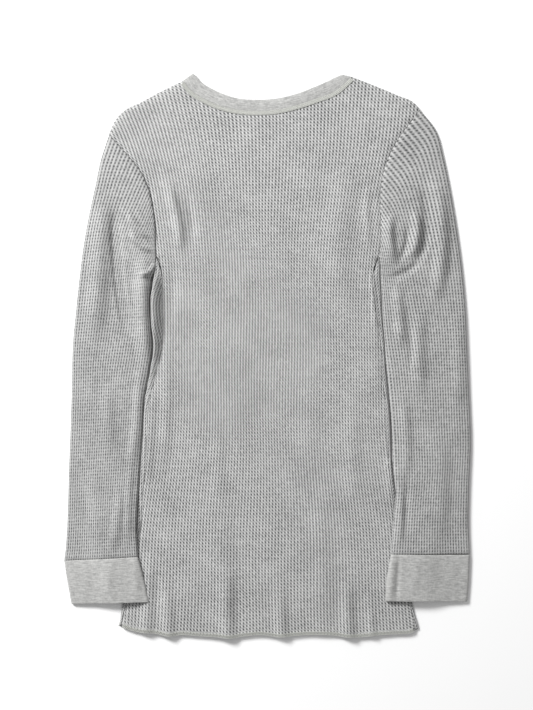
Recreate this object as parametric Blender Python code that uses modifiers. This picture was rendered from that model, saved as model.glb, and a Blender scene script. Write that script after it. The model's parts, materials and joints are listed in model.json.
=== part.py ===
"""Thermal top: a long-sleeved waffle-knit undershirt lying flat on its front, back upwards.

Metres, +Z up out of the table, +Y towards the neck, +X towards the wearer's right arm as it lies.
The origin is on the table, under the middle of the garment's outline.
Every piece that is cut and sewn is its own closed wall of cloth. The body is two panels, one on the
other; each sleeve and cuff is a flattened tube; the neckband is one ring folded flat at both shoulders.
"""

import bpy
import numpy as np

MM = 0.001

KNIT_WALL = 1.4 * MM
BAND_WALL = 1.6 * MM
STACK = 3.8 * MM
ROLL = STACK / 2
SEAM_GAP = 0.3 * MM
LAID_OVER = 4.3 * MM
CORNER_GAP = 1.5 * MM

# One roll as a share of an armhole's length, and of the neckband's.
SLEEVE_PULL = ROLL / (175 * MM)
BAND_PULL = ROLL / (230 * MM)

SIDE_ROWS = 14
ARMHOLE_ROWS = 9
SHOULDER_COLUMNS = 6
NECK_COLUMNS = 10
SLEEVE_ROWS = 16
CUFF_ROWS = 3
BAND_ROWS = 2
ROLL_STEPS = 3
FINE_STEPS = 65

COLLECTION = "thermal_top"
KNIT_GREY = (0.46, 0.46, 0.45, 1.0)
BAND_GREY = (0.50, 0.50, 0.49, 1.0)


def table(names, rows):
    """Named columns, in metres, from rows of millimetres."""
    return {name: np.array(values, float) * MM for name, values in zip(names.split(), zip(*rows))}


# The body's two sides, from the armpits down to the hem. A lip is how far the front panel is
# rolled over the top before it meets the back panel at the side seam.
SIDES = table("height left right left_lip right_lip", (
    (116, -134, 134.5, 1.5, 1.5),
    (95, -136, 135, 8, 7),
    (65, -140, 136.5, 12, 7),
    (35, -139, 138, 12, 3),
    (11, -137, 140, 11, 2),
    (-26, -142, 142, 11, 2),
    (-55, -147.5, 144.5, 11, 2),
    (-103, -150, 147.5, 10, 2),
    (-135, -152, 149.5, 10, 2),
    (-175, -155, 154.5, 9, 2),
    (-211, -157.5, 159, 8, 2),
    (-247, -165, 165, 8, 2),
    (-297, -173.5, 173.5, 8, 2),
    (-328, -179, 180.5, 8, 2),
))

# The armhole seams, from the shoulder corner down to the armpit.
ARMHOLES = {
    "left": table("x y", (
        (-190, 264), (-182, 255), (-167, 238), (-154, 222), (-144, 202),
        (-138, 178), (-135, 155), (-134.5, 135), (-134, 116),
    )),
    "right": table("x y", (
        (183, 293), (170, 276), (156, 257), (145, 236), (139, 217),
        (135.5, 195), (135.5, 170), (136, 145), (134.5, 116),
    )),
}

# The shoulder edges, from the armhole corner up to the neckband.
SHOULDERS = {
    "left": table("x y", ((-190, 264), (-184, 278), (-173, 291), (-152, 302), (-128, 315), (-103, 327))),
    "right": table("x y", ((183, 293), (176, 301), (157, 310), (126, 323), (103, 332))),
}

# The back of the neckband: its open inner edge, and the seam edge that the back panel meets.
BACK_NECK = table("inner_x inner_y seam_x seam_y", (
    (-88, 338.6, -102, 328),
    (-80, 327, -91, 315),
    (-66.5, 318.5, -75, 305),
    (-51, 311.5, -57.5, 297.5),
    (-33, 306.5, -36.5, 292.5),
    (-11, 305.5, -11, 291),
    (9, 306.5, 11.5, 292.5),
    (29.5, 311, 35.5, 298),
    (53.5, 319.5, 59.5, 306),
    (73, 328, 80, 314),
    (88, 336, 102, 332.5),
))

# How far the front of the neckband hangs below the line between its two folds.
FRONT_NECK_DROP = {"inner": 88 * MM, "seam": 100 * MM}
SCOOP_POWER = 2.4

HEM = table("x y", (
    (-179, -326), (-165, -330), (-135, -335), (-98, -338), (-62, -338.5),
    (-20, -337), (20, -336), (60, -337.5), (105, -338.5), (150, -336), (174, -333), (180.5, -329),
))

# Sleeve sections below the armhole: the fold along the outer arm and the fold under it.
SLEEVES = {
    "left": table("outer_x outer_y inner_x inner_y", (
        (-190, 264, -134, 116),
        (-200, 233, -144.5, 91),
        (-208, 195, -144, 65),
        (-216, 157, -140.5, 35),
        (-223, 113, -138.5, 10),
        (-228.5, 65, -144, -25),
        (-233.5, 17, -150.5, -55),
        (-234.5, -37, -152, -85),
        (-236, -85, -155.5, -111),
        (-238, -139, -158.5, -151),
        (-239.5, -193, -159, -199),
        (-241.5, -229, -156, -229),
        (-243.7, -247, -155, -242),
    )),
    "right": table("outer_x outer_y inner_x inner_y", (
        (183, 293, 134.5, 116),
        (202, 268, 137, 95),
        (211, 236, 138.5, 65),
        (219, 197, 140.5, 35),
        (226, 155, 143, 8),
        (232, 111, 145.5, -28),
        (237, 59, 148, -64),
        (239.5, 5, 150.5, -103),
        (242, -55, 152, -136),
        (243.7, -103, 153.5, -166),
        (242, -151, 151, -195),
        (241, -199, 149, -220),
        (242.5, -239, 147.5, -239),
    )),
}

# Cuff sections, from the seam with the sleeve to the open edge.
CUFFS = {
    "left": table("outer_x outer_y inner_x inner_y", (
        (-243.7, -247, -155, -242),
        (-240, -271, -148.5, -266),
        (-235, -299, -141.5, -296),
    )),
    "right": table("outer_x outer_y inner_x inner_y", (
        (242.5, -240, 147.5, -239),
        (241.5, -268, 142.5, -268),
        (239.5, -296, 140.5, -295),
    )),
}

# Where a sleeve starts to climb onto the body and where it lies wholly on it, and the shares of its
# width, counted from its outer fold, over which it climbs.
CLIMB = {"left": (-130 * MM, -200 * MM), "right": (-70 * MM, -142 * MM)}
CLIMB_ACROSS = (0.2, 0.58)
# How fast the bend of the armhole's cap dies out along a sleeve.
CAP_BEND = 5
# The roll along the body's sides grows to its full size over this height below the armpits.
ROLL_IN = 30 * MM

# Long soft folds: the line that each one follows, its half width and its rise. FOLD_ENDS is the share
# of the rise that is left at both ends, and EDGE_CELLS the cells over which folds die out at a seam.
FOLD_ENDS = 0.4
EDGE_CELLS = 2
BODY_FOLDS = table("x0 y0 x1 y1 half_width rise", (
    (-84, -120, -92, -338, 22, 3.2),
    (-4, -150, 2, -338, 26, 3.6),
    (62, -140, 70, -338, 22, 3.0),
    (118, -230, 124, -338, 20, 3.4),
    (-100, 240, -72, 60, 26, 2.4),
    (96, 240, 92, 40, 26, 2.2),
))
SLEEVE_FOLDS = {
    "left": table("x0 y0 x1 y1 half_width rise", (
        (-172, 132, -153, -10, 15, 8.5),
        (-206, 190, -216, 10, 17, 5.0),
        (-178, -60, -186, -235, 24, 3.0),
    )),
    "right": table("x0 y0 x1 y1 half_width rise", (
        (204, 205, 218, 40, 17, 5.5),
        (168, 185, 182, 90, 15, 6.0),
        (176, 40, 184, -120, 20, 4.0),
        (205, -110, 200, -235, 24, 3.0),
    )),
}


def smooth(at, knots, values):
    """A cubic through the knots, whose slope at each one is that of its two neighbours."""
    slope = np.gradient(values, knots)
    index = np.clip(np.searchsorted(knots, at) - 1, 0, len(knots) - 2)
    step = knots[index + 1] - knots[index]
    t = (at - knots[index]) / step
    start = (1 + 2 * t) * (1 - t) ** 2 * values[index] + t * (1 - t) ** 2 * step * slope[index]
    end = t * t * (3 - 2 * t) * values[index + 1] + t * t * (t - 1) * step * slope[index + 1]
    return start + end


def curve(xs, ys, fractions):
    """Points at fractions of the length of a smooth curve through (xs, ys)."""
    run = np.concatenate(([0.0], np.cumsum(np.hypot(np.diff(xs), np.diff(ys)))))
    at = np.asarray(fractions) * run[-1]
    return np.stack((smooth(at, run, xs), smooth(at, run, ys)), axis=-1)


def across(steps, pull):
    """Fractions across a flattened tube: both tips, and even steps between points one roll in."""
    return np.concatenate(([0.0], np.linspace(pull, 1 - pull, steps + 1), [1.0]))


def ease(x):
    """0 below 0, 1 above 1, and an S-curve between."""
    x = np.clip(x, 0, 1)
    return x * x * (3 - 2 * x)


def rise(xy, folds):
    """Height of the folds: each is a rounded ridge across its line, faded at both ends."""
    total = np.zeros(xy.shape[:-1])
    for x0, y0, x1, y1, half_width, height in zip(*folds.values()):
        start = np.array((x0, y0))
        line = np.array((x1, y1)) - start
        along = ((xy - start) @ line) / (line @ line)
        away = np.linalg.norm(xy - start - np.clip(along, 0, 1)[..., None] * line, axis=-1)
        ends = FOLD_ENDS + (1 - FOLD_ENDS) * ease(1.5 - 3 * np.abs(along - 0.5))
        total = total + height * ends * ease(1 - away / half_width)
    return total


def shares(points):
    """How far along a line each of its points is, from 0 to 1."""
    run = np.concatenate(([0.0], np.cumsum(np.linalg.norm(np.diff(points, axis=0), axis=1))))
    return run / run[-1]


def fill(left, right, bottom, top):
    """The sheet between four edges: the pair of sides blended, plus the ends, less the corners."""
    v = ((shares(left) + shares(right)) / 2)[:, None, None]
    u = shares(top)[None, :, None]
    sides = (1 - u) * left[:, None] + u * right[:, None]
    ends = (1 - v) * bottom[None] + v * top[None]
    low = (1 - u) * bottom[0] + u * bottom[-1]
    high = (1 - u) * top[0] + u * top[-1]
    return sides + ends - (1 - v) * low - v * high


def material(name, colour):
    cloth = bpy.data.materials.new(name)
    cloth.use_nodes = True
    surface = cloth.node_tree.nodes["Principled BSDF"]
    surface.inputs["Base Color"].default_value = colour
    surface.inputs["Roughness"].default_value = 0.9
    surface.inputs["Metallic"].default_value = 0.0
    return cloth


def wall(name, points, cells, thickness, colour):
    """A cloth wall: the outer face as an open surface, made solid inwards."""
    used, index = np.unique(cells, return_inverse=True)
    mesh = bpy.data.meshes.new(name)
    mesh.from_pydata(points.reshape(-1, 3)[used].tolist(), [], index.reshape(-1, 4).tolist())
    mesh.materials.append(material(name, colour))
    mesh.shade_smooth()
    piece = bpy.data.objects.new(name, mesh)
    bpy.data.collections[COLLECTION].objects.link(piece)
    solid = piece.modifiers.new("Cloth thickness", "SOLIDIFY")
    solid.thickness = thickness
    solid.offset = -1
    solid.use_even_offset = True
    return piece


def grid_cells(rows, columns, closed=False):
    """The four corners of every cell of a grid, column after column round each row."""
    corner = np.arange(rows * columns).reshape(rows, columns)
    if closed:
        corner = np.concatenate((corner, corner[:, :1]), axis=1)
    return np.stack((corner[:-1, :-1], corner[:-1, 1:], corner[1:, 1:], corner[1:, :-1]), axis=-1)


def roll_angles():
    """Angles round a fold between the upper and the lower layer, both ends left out."""
    return np.linspace(np.pi / 2, -np.pi / 2, ROLL_STEPS + 1)[1:-1]


def flat_tube(upper, lower, top, bottom):
    """Rings round a flattened tube.

    upper and lower are rows of plan points from tip to tip, and top and bottom their heights. Each
    ring runs along the upper layer, round the last tip, back along the lower layer and round the first.
    """
    def layer(plan, height):
        return np.concatenate((plan, height[..., None]), axis=-1)[:, 1:-1]

    def fold(plan, tip, side):
        end = plan[:, side][:, None]
        angle = roll_angles()
        reach = end + (plan[:, tip][:, None] - end) * np.cos(angle)[None, :, None]
        middle = (top[:, side] + bottom[:, side]) / 2
        half = (top[:, side] - bottom[:, side]) / 2
        height = middle[:, None] + half[:, None] * np.sin(angle)
        return np.concatenate((reach, height[..., None]), axis=-1)

    return np.concatenate((
        layer(upper, top), fold(upper, -1, -2),
        layer(lower, bottom)[:, ::-1], fold(upper, 0, 1)[:, ::-1],
    ), axis=1)


def armhole(side, gap=0.0):
    """The armhole seam from shoulder to armpit, moved away from the body by gap."""
    points = curve(ARMHOLES[side]["x"], ARMHOLES[side]["y"], across(ARMHOLE_ROWS, SLEEVE_PULL))
    return moved_out(points, np.asarray(gap)[..., None] * (1 if side == "left" else -1))


def side_line(side, lip):
    """A panel's side from the hem up to the armpit, lip metres in from the outline."""
    heights = np.linspace(SIDES["height"][-1], SIDES["height"][0], SIDE_ROWS + 1)
    down = SIDES["height"][::-1]
    edge = smooth(heights, down, SIDES[side][::-1])
    inwards = 1 if side == "left" else -1
    return np.stack((edge + inwards * lip(heights, down), heights), axis=-1)


def panel_outline(lip_of, neck):
    """A body panel's four edges. lip_of gives, for a side, how far in from the outline it stops.

    Above its side seam a panel follows the armhole, from the first point clear of the armpit.
    """
    sides = {}
    for side in ("left", "right"):
        below = side_line(side, lip_of(side))
        above = armhole(side)[::-1]
        sides[side] = np.concatenate((below, above[2:]))
    shoulder = np.linspace(0, 1, SHOULDER_COLUMNS + 1)
    left = curve(SHOULDERS["left"]["x"], SHOULDERS["left"]["y"], shoulder)
    right = curve(SHOULDERS["right"]["x"], SHOULDERS["right"]["y"], shoulder)[::-1]
    top = np.concatenate((left[:-1], neck, right[1:]))
    hem = curve(HEM["x"], HEM["y"], shares(top))
    for side, corner in (("left", 0), ("right", -1)):
        sides[side][0] = hem[corner] + (sides[side][0] - hem[corner]) * (1, 0)
    hem[0] = sides["left"][0]
    hem[-1] = sides["right"][0]
    return sides["left"], sides["right"], hem, top


def moved_out(points, gap):
    """A line moved sideways by gap, to the right of the way that it runs."""
    run = np.gradient(points, axis=0)
    right = np.stack((run[:, 1], -run[:, 0]), axis=-1)
    return points + gap * right / np.linalg.norm(right, axis=-1, keepdims=True)


def back_neck(edge):
    """One edge of the back of the neckband, from the left shoulder fold to the right one."""
    return curve(BACK_NECK[edge + "_x"], BACK_NECK[edge + "_y"], across(NECK_COLUMNS, BAND_PULL))


def front_neck(edge):
    """The same for the front: a deep scoop hung between the two ends of the back one."""
    x = np.linspace(-1, 1, FINE_STEPS)
    xs = np.interp(x, (-1, 1), BACK_NECK[edge + "_x"][[0, -1]])
    ys = np.interp(x, (-1, 1), BACK_NECK[edge + "_y"][[0, -1]])
    scoop = FRONT_NECK_DROP[edge] * (1 - np.abs(x) ** SCOOP_POWER)
    return curve(xs, ys - scoop, across(NECK_COLUMNS, BAND_PULL))


def neck_edge(band_edge):
    """A panel's neck edge, a seam gap from the band, and further where the band folds over."""
    gaps = np.full(len(band_edge), SEAM_GAP)
    gaps[[0, -1]] = CORNER_GAP
    return np.delete(moved_out(band_edge, gaps[:, None]), (1, -2), axis=0)


def edge_fade(rows, columns):
    """1 inside a sheet and 0 over the first cell from its sides and its top, so seams stay level."""
    row = np.arange(rows)[:, None]
    column = np.arange(columns)[None]
    sides = ease((np.minimum(column, columns - 1 - column) - 1) / EDGE_CELLS)
    return sides * ease((rows - 2 - row) / EDGE_CELLS)


def build_back_panel():
    def lip_of(side):
        def lip(heights, down):
            return smooth(heights, down, SIDES[side + "_lip"][::-1]) + ROLL + SEAM_GAP
        return lip

    plan = fill(*panel_outline(lip_of, neck_edge(back_neck("seam"))))
    height = STACK + rise(plan, BODY_FOLDS) * edge_fade(*plan.shape[:2])
    points = np.concatenate((plan, height[..., None]), axis=-1)
    return wall("back_panel", points, grid_cells(*plan.shape[:2]), KNIT_WALL, KNIT_GREY)


def build_front_panel():
    """The lower panel, flat on the table, with its two sides rolled up and over onto the top."""
    def lip_of(_side):
        def lip(heights, _down):
            return np.full(len(heights), ROLL)
        return lip

    plan = fill(*panel_outline(lip_of, neck_edge(front_neck("seam"))))
    flat = np.concatenate((plan, np.zeros(plan.shape[:2])[..., None]), axis=-1)
    rows = len(plan)
    rolled = {}
    for side, column, inwards in (("left", 0, 1), ("right", -1, -1)):
        heights = plan[:SIDE_ROWS + 1, column, 1]
        down = SIDES["height"][::-1]
        lip = smooth(np.clip(heights, down[0], down[-1]), down, SIDES[side + "_lip"][::-1])
        out = ROLL * ease((SIDES["height"][0] - heights) / ROLL_IN)
        angle = -np.concatenate(([np.pi / 2], roll_angles(), [-np.pi / 2]))[1:]
        x = plan[:SIDE_ROWS + 1, column, 0][:, None] - inwards * out[:, None] * np.cos(angle)
        z = ROLL + ROLL * np.sin(angle)
        ring = np.stack((x, np.broadcast_to(heights[:, None], x.shape), np.broadcast_to(z, x.shape)), axis=-1)
        tip = ring[:, -1:] + np.stack((inwards * lip, 0 * lip, 0 * lip), axis=-1)[:, None]
        roll = np.concatenate((ring, tip), axis=1)
        padding = np.repeat(roll[-1:], rows - SIDE_ROWS - 1, axis=0)
        rolled[side] = np.concatenate((roll, padding))
    points = np.concatenate((rolled["left"][:, ::-1], flat, rolled["right"]), axis=1)
    cells = grid_cells(*points.shape[:2])
    extra = rolled["left"].shape[1]
    keep = np.ones(cells.shape[:2], bool)
    keep[SIDE_ROWS:, :extra] = False
    keep[SIDE_ROWS:, -extra:] = False
    return wall("front_panel", points, cells[keep][:, ::-1], KNIT_WALL, KNIT_GREY)


def sections(stations, rows, fractions, first=None):
    """Rows of plan points across a tube, from a table of its two folds; first bends the first row."""
    s = np.linspace(0, len(stations["outer_x"]) - 1, rows + 1)
    knots = np.arange(len(stations["outer_x"]), dtype=float)
    outer = np.stack([smooth(s, knots, stations["outer_" + axis]) for axis in "xy"], axis=-1)
    inner = np.stack([smooth(s, knots, stations["inner_" + axis]) for axis in "xy"], axis=-1)
    across_it = np.asarray(fractions)[None, :, None]
    plan = (1 - across_it) * outer[:, None] + across_it * inner[:, None]
    if first is not None:
        bend = (1 - s / s[-1]) ** CAP_BEND
        plan = plan + bend[:, None, None] * (first - plan[0])[None]
    return plan


def lift(plan, side):
    """How high the lower layer is: it climbs over the body's edge, and only on the inner half."""
    start, end = CLIMB[side]
    heights = plan[..., 1]
    near, far = CLIMB_ACROSS
    inner_half = ease((np.linspace(0, 1, plan.shape[1]) - near) / (far - near))
    return LAID_OVER * inner_half * ease((heights - start) / (end - start))


def build_sleeve(side):
    gaps = np.full(ARMHOLE_ROWS + 3, SEAM_GAP)
    gaps[0] = CORNER_GAP
    cap = armhole(side, gaps)
    stations = dict(SLEEVES[side])
    for name in ("outer_y", "inner_y"):
        stations[name] = stations[name].copy()
        stations[name][-1] += 2 * SEAM_GAP
    fractions = across(ARMHOLE_ROWS, SLEEVE_PULL)
    plan = sections(stations, SLEEVE_ROWS, fractions, cap)
    bottom = lift(plan, side)
    row = np.arange(len(plan))
    fade = ease((np.minimum(row, row[::-1]) - 1) / EDGE_CELLS)
    inside = np.sin(np.pi * fractions) ** 0.5
    top = bottom + STACK + rise(plan, SLEEVE_FOLDS[side]) * fade[:, None] * inside
    points = flat_tube(plan, plan, top, bottom)
    cells = grid_cells(*points.shape[:2], closed=True)
    turned = cells[..., ::-1] if side == "left" else cells
    return wall(side + "_sleeve", points, turned.reshape(-1, 4), KNIT_WALL, KNIT_GREY)


def build_cuff(side):
    plan = sections(CUFFS[side], CUFF_ROWS, across(ARMHOLE_ROWS, SLEEVE_PULL))
    bottom = lift(plan, side)
    points = flat_tube(plan, plan, bottom + STACK, bottom)
    cells = grid_cells(*points.shape[:2], closed=True)
    turned = cells[..., ::-1] if side == "left" else cells
    return wall(side + "_cuff", points, turned.reshape(-1, 4), BAND_WALL, BAND_GREY)


def build_neckband():
    """One ring: the back of the band on top, the front of it below, folded at both shoulders."""
    rings = []
    width = np.linspace(0, 1, BAND_ROWS + 1)
    for share in width:
        upper = (1 - share) * back_neck("inner") + share * back_neck("seam")
        lower = (1 - share) * front_neck("inner") + share * front_neck("seam")
        top = np.full(len(upper), STACK)
        bottom = np.zeros(len(lower))
        rings.append(flat_ring(upper, lower, top, bottom))
    points = np.array(rings)
    cells = grid_cells(*points.shape[:2], closed=True)
    return wall("neckband", points, cells[..., ::-1].reshape(-1, 4), BAND_WALL, BAND_GREY)


def flat_ring(upper, lower, top, bottom):
    """A loop along the upper path, round the fold at its end, back along the lower path and round."""
    angle = roll_angles()

    def fold(tip, over, under):
        middle = (over + under) / 2
        share = (1 - np.sin(angle))[:, None] / 2
        between = over + (under - over) * share
        reach = between + (tip - middle) * np.cos(angle)[:, None]
        return np.column_stack((reach, ROLL + ROLL * np.sin(angle)))

    return np.concatenate((
        np.column_stack((upper, top))[1:-1],
        fold(upper[-1], upper[-2], lower[-2]),
        np.column_stack((lower, bottom))[1:-1][::-1],
        fold(upper[0], upper[1], lower[1])[::-1],
    ))


def clear_scene():
    for item in list(bpy.data.objects):
        bpy.data.objects.remove(item, do_unlink=True)


def main():
    clear_scene()
    bpy.context.scene.collection.children.link(bpy.data.collections.new(COLLECTION))
    build_back_panel()
    build_front_panel()
    for side in ("left", "right"):
        build_sleeve(side)
        build_cuff(side)
    build_neckband()


main()
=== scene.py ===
# %% [markdown]
# # A thermal top in waffle knit, laid flat on its front
#
# A thermal top is a close-fitting long-sleeved undershirt. It is cut from waffle knit, whose small
# square pockets hold warm air, and it is finished at the neck and the wrists with plain jersey.
# This lesson builds one that lies on its front with its back upwards, a sleeve at each side.
#
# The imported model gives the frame: where each piece lies and how thick the stack of cloth is. Every
# piece below is a fine skin of cloth on one of its solids, in metres, +X to the right, +Y to the neck.

# %% The frame
import json

import bpy
import numpy as np
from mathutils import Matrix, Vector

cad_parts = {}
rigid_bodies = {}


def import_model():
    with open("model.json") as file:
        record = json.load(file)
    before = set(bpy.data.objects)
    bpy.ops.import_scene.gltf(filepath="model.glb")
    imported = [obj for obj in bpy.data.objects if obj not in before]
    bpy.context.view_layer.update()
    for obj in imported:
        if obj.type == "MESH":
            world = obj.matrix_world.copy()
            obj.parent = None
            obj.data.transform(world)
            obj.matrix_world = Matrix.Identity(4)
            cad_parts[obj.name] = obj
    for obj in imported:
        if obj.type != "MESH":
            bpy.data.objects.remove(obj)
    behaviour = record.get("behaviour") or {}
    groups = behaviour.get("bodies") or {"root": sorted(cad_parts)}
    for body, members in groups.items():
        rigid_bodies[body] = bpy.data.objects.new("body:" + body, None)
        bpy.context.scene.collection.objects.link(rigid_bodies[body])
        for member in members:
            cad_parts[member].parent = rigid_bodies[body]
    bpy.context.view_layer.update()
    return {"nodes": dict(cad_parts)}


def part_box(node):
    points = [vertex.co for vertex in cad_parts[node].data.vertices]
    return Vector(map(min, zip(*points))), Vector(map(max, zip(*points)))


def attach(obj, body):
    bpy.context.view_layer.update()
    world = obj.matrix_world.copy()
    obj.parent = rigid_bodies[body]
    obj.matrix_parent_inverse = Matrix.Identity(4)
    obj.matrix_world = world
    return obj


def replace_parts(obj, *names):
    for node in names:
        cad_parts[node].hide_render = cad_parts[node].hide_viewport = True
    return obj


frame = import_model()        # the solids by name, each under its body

MM = 0.001
print("solids:", ", ".join(sorted(frame["nodes"])))

# %% [markdown]
# ## Measures of the cloth
#
# A flat garment is two layers of cloth, one on the other. The lowest face is on the table and the
# upper layer's outer face is at the height of the neckband's solid, which is the plain stack of both.
# Folds turn over with half of that height as their radius. The waffle repeats every rib across and
# every course along. Its ribs stand up, its bars are a little lower, and its pits are the lowest.

# %% Measures
BAND_LOW, BAND_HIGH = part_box("neckband")
STACK = BAND_HIGH.z - BAND_LOW.z
ROLL = STACK / 2
COURSE = 3.9 * MM
BAR_DEPTH = 0.35 * MM
PIT_DEPTH = 0.95 * MM
KNIT_WALL = 0.7 * MM
BAND_WALL = 1.5 * MM
SEAM_GAP = 0.3 * MM
LAID_OVER = 4.3 * MM
print(f"two layers of cloth are {STACK / MM:.1f} mm thick, a course is {COURSE / MM:.1f} mm")

# %% [markdown]
# ## Lines of the cut
#
# A pattern maker draws a garment as a few lines: the sides, the armholes, the shoulders, the neck and
# the hem. Each is a short table here, in millimetres, with one row for each point that its shape needs,
# and a smooth cubic runs through them. The two sides differ a little because the top was laid by hand.

# %% Tables and smooth lines
def table(names, rows):
    """Named columns, in metres, from rows of millimetres."""
    return {name: np.array(values, float) * MM for name, values in zip(names.split(), zip(*rows))}


def smooth(at, knots, values):
    """A cubic through the knots, with the slope of its two neighbours at each; level past the ends."""
    at = np.clip(at, knots[0], knots[-1])
    slope = np.gradient(values, knots)
    index = np.clip(np.searchsorted(knots, at) - 1, 0, len(knots) - 2)
    step = knots[index + 1] - knots[index]
    t = (at - knots[index]) / step
    start = (1 + 2 * t) * (1 - t) ** 2 * values[index] + t * (1 - t) ** 2 * step * slope[index]
    end = t * t * (3 - 2 * t) * values[index + 1] + t * t * (t - 1) * step * slope[index + 1]
    return start + end


def ease(x):
    """0 below 0, 1 above 1, and an S-curve between: three x squared less two x cubed."""
    x = np.clip(x, 0, 1)
    return x * x * (3 - 2 * x)


def run_of(steps):
    """How far along a line each of its points is: the sum of the steps before it."""
    return np.concatenate(([0.0], np.cumsum(steps)))


def along(xs, ys, fractions):
    """Points at fractions of the length of the smooth curve through (xs, ys)."""
    run = run_of(np.hypot(np.diff(xs), np.diff(ys)))
    at = np.asarray(fractions) * run[-1]
    return np.stack((smooth(at, run, xs), smooth(at, run, ys)), axis=-1)


print("the S-curve at a quarter, a half and one:", ease(np.array((0.25, 0.5, 1.0))))


# %% The body's lines
# The sides from hem to armpit. A lip is how far the front is rolled over onto the back.
SIDES = table("height left right left_lip right_lip", (
    (-328, -179, 180.5, 1, 1),
    (-297, -173.5, 173.5, 2, 1),
    (-247, -165, 165, 2, 2),
    (-211, -157.5, 159, 3, 2),
    (-175, -155, 154.5, 3, 2),
    (-135, -152, 149.5, 3.5, 2),
    (-103, -150, 147.5, 3.5, 2),
    (-55, -147.5, 144.5, 4, 2),
    (-26, -142, 142, 5.5, 2),
    (11, -137, 140, 9, 2),
    (35, -139, 138, 12, 3),
    (65, -140, 136.5, 12, 7),
    (95, -136, 135, 8, 7),
    (116, -134, 134.5, 1.5, 1.5),
))
ARMPIT = SIDES["height"][-1]

# The armhole seams, from the armpit up to the shoulder corner.
ARMHOLES = {
    "left": table("x y", (
        (-134, 116), (-134.5, 135), (-135, 155), (-138, 178), (-144, 202),
        (-154, 222), (-167, 238), (-182, 255), (-190, 264),
    )),
    "right": table("x y", (
        (134.5, 116), (136, 145), (135.5, 170), (135.5, 195), (139, 217),
        (145, 236), (156, 257), (170, 276), (183, 293),
    )),
}
SHOULDERS = {
    "left": table("x y", ((-190, 264), (-184, 278), (-173, 291), (-152, 302), (-128, 315), (-103, 327))),
    "right": table("x y", ((103, 332), (126, 323), (157, 310), (176, 301), (183, 293))),
}
HEM = table("x y", (
    (-179, -325), (-161, -331), (-133, -334.5), (-117, -337.3), (-103, -335.8), (-85, -337), (-61, -338.4),
    (-43, -339.6), (-27, -337.4), (-10, -335.8), (15, -338.2), (31, -337), (47, -335.8), (75, -336),
    (99, -338.6), (112, -338.4), (127, -336.6), (151, -335), (174, -332.6), (180.5, -329),
))

# The back of the neckband: its open inner edge and its seam with the back panel.
BACK_NECK = table("inner_x inner_y seam_x seam_y", (
    (-88, 338.6, -102, 328),
    (-80, 327, -91, 315),
    (-66.5, 318.5, -75, 305),
    (-51, 311.5, -57.5, 297.5),
    (-33, 306.5, -36.5, 292.5),
    (-11, 305.5, -11, 291),
    (9, 306.5, 11.5, 292.5),
    (29.5, 311, 35.5, 298),
    (53.5, 319.5, 59.5, 306),
    (73, 328, 80, 314),
    (88, 336, 102, 332.5),
))
NECK_DROP = {"inner": 88 * MM, "seam": 100 * MM}
SCOOP_POWER = 2.4


# %% Sides and heights of the cut
def front_neck_height(x, edge):
    """The front neck: the line between the band's two folds, less a scoop that is flat in its middle."""
    xs = BACK_NECK[edge + "_x"]
    ys = BACK_NECK[edge + "_y"]
    share = np.clip((x - xs[0]) / (xs[-1] - xs[0]), 0, 1)
    scoop = NECK_DROP[edge] * (1 - np.abs(2 * share - 1) ** SCOOP_POWER)
    return ys[0] + (ys[-1] - ys[0]) * share - scoop


def side_x(side, height):
    """The outline's x at a height: the side up to the armpit, and the armhole above it."""
    above = ARMHOLES[side]
    below = smooth(height, SIDES["height"], SIDES[side])
    return np.where(height > ARMPIT, smooth(height, above["y"], above["x"]), below)


def top_height(x, neck):
    """The height of a panel's top edge at x: the two shoulders and, between them, the neck seam."""
    left, right = SHOULDERS["left"], SHOULDERS["right"]
    shoulders = np.where(x < 0, smooth(x, left["x"], left["y"]), smooth(x, right["x"], right["y"]))
    return np.where((x > left["x"][-1]) & (x < right["x"][0]), neck(x), shoulders)


def back_neck_seam(x):
    return smooth(x, BACK_NECK["seam_x"], BACK_NECK["seam_y"])


def front_neck_seam(x):
    return front_neck_height(x, "seam")


print(f"the hem is {(HEM['x'][-1] - HEM['x'][0]) / MM:.0f} mm wide laid flat")

# %% The sleeves' lines
# Sections across a sleeve, from the armhole to the cuff: its outer fold and the fold under the arm.
FOLDS = "outer_x outer_y inner_x inner_y"
SLEEVES = {
    "left": table(FOLDS, (
        (-190, 264, -134, 116),
        (-200, 233, -135, 99),
        (-206, 204, -139.5, 88),
        (-211, 181, -141, 70),
        (-216.5, 154, -140.6, 50),
        (-222, 120, -139, 27),
        (-226.5, 82, -137.6, 9),
        (-230, 48, -142.2, -20),
        (-233.5, 10, -147.6, -52),
        (-234.5, -37, -149.6, -85),
        (-236, -85, -151.6, -111),
        (-238, -139, -154.6, -151),
        (-239.5, -193, -157.2, -199),
        (-241.5, -229, -156, -229),
        (-243.7, -247, -155, -242),
    )),
    "right": table(FOLDS, (
        (183, 293, 134.5, 116),
        (202, 268, 136, 97),
        (211, 236, 137.5, 65),
        (219, 197, 139.5, 35),
        (226, 155, 142, 8),
        (232, 111, 147, -28),
        (237, 59, 150.4, -64),
        (239.5, 5, 152.8, -103),
        (242, -55, 153.3, -136),
        (243.7, -103, 153.5, -166),
        (242, -151, 151, -195),
        (241, -199, 149, -220),
        (242.5, -239, 147.5, -239),
    )),
}
CUFFS = {
    "left": table(FOLDS, (
        (-243.7, -247, -155, -242), (-240, -271, -148.5, -266), (-235, -299, -141.5, -296),
    )),
    "right": table(FOLDS, (
        (242.5, -240, 147.5, -239), (241.5, -268, 142.5, -268), (239.5, -296, 140.5, -295),
    )),
}
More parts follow.
